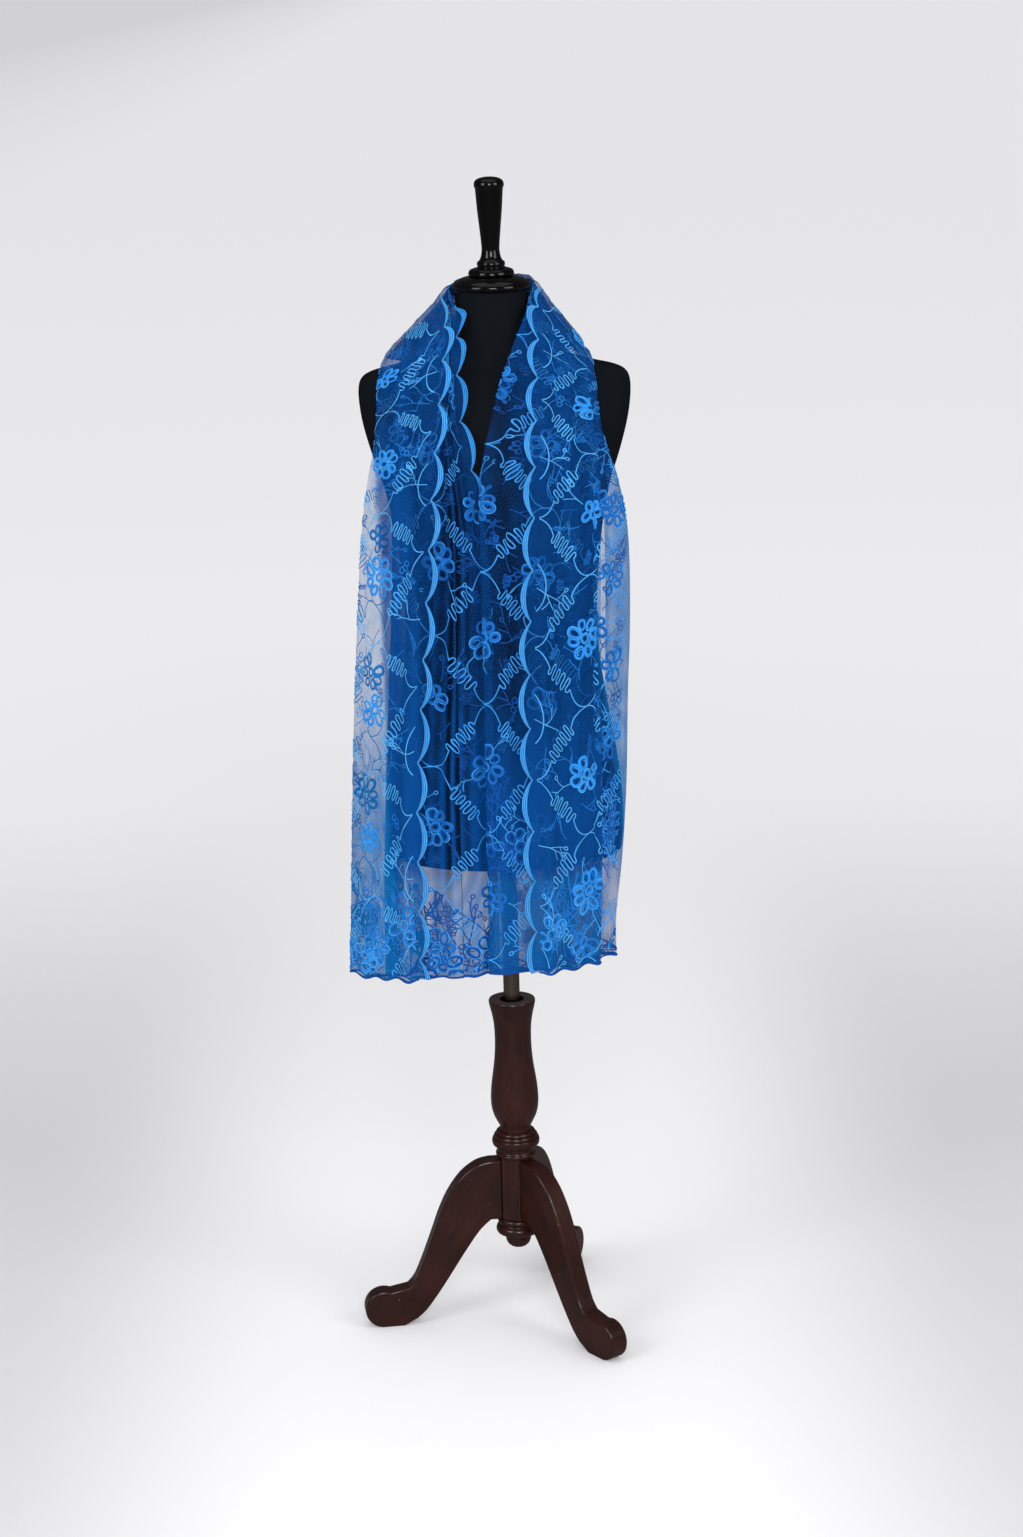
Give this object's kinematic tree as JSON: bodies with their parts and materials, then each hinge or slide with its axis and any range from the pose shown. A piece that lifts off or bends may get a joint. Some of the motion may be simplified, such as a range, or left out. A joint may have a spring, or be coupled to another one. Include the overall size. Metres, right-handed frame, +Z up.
{
  "type": "net dupatta on a limbless dress form with a tripod stand",
  "caption": "Scalloped net dupatta folded lengthwise and draped round the neck of a black dress form, on a pole and a turned wooden tripod stand.",
  "frame": {"origin": "bottom middle of the part's box, on the floor that the three feet stand on; the pole's axis passes 21 mm to its +X side and 13 mm to its -Y side", "axes": "+Z up along the pole; -Y is the front that the dupatta's two stretches hang on; +X is to the right as seen from the front"},
  "size_m": [0.4028, 0.3936, 1.6055],
  "materials": {
    "net_fabric": "fine sheer net with raised cord embroidery",
    "satin_border": "satin stitch sheen",
    "form_jersey": "matte jersey",
    "black_lacquer": "gloss lacquer",
    "pole_metal": "dark polished",
    "mahogany": "satin varnish"
  },
  "bodies": {
    "root": {"neck_band": "net_fabric", "left_front": "net_fabric", "left_under": "net_fabric", "right_front": "net_fabric", "right_middle": "net_fabric", "left_front_border": "satin_border", "left_under_border": "satin_border", "right_front_border": "satin_border", "form_torso": "form_jersey", "neck_cap": "black_lacquer", "finial": "black_lacquer", "pole": "pole_metal", "stand_post": "mahogany", "stand_rings": "mahogany", "stand_block": "mahogany", "stand_base": "mahogany", "ball_end": "mahogany", "leg_left": "mahogany", "leg_right": "mahogany", "leg_back": "mahogany"}
  },
  "joints": []
}
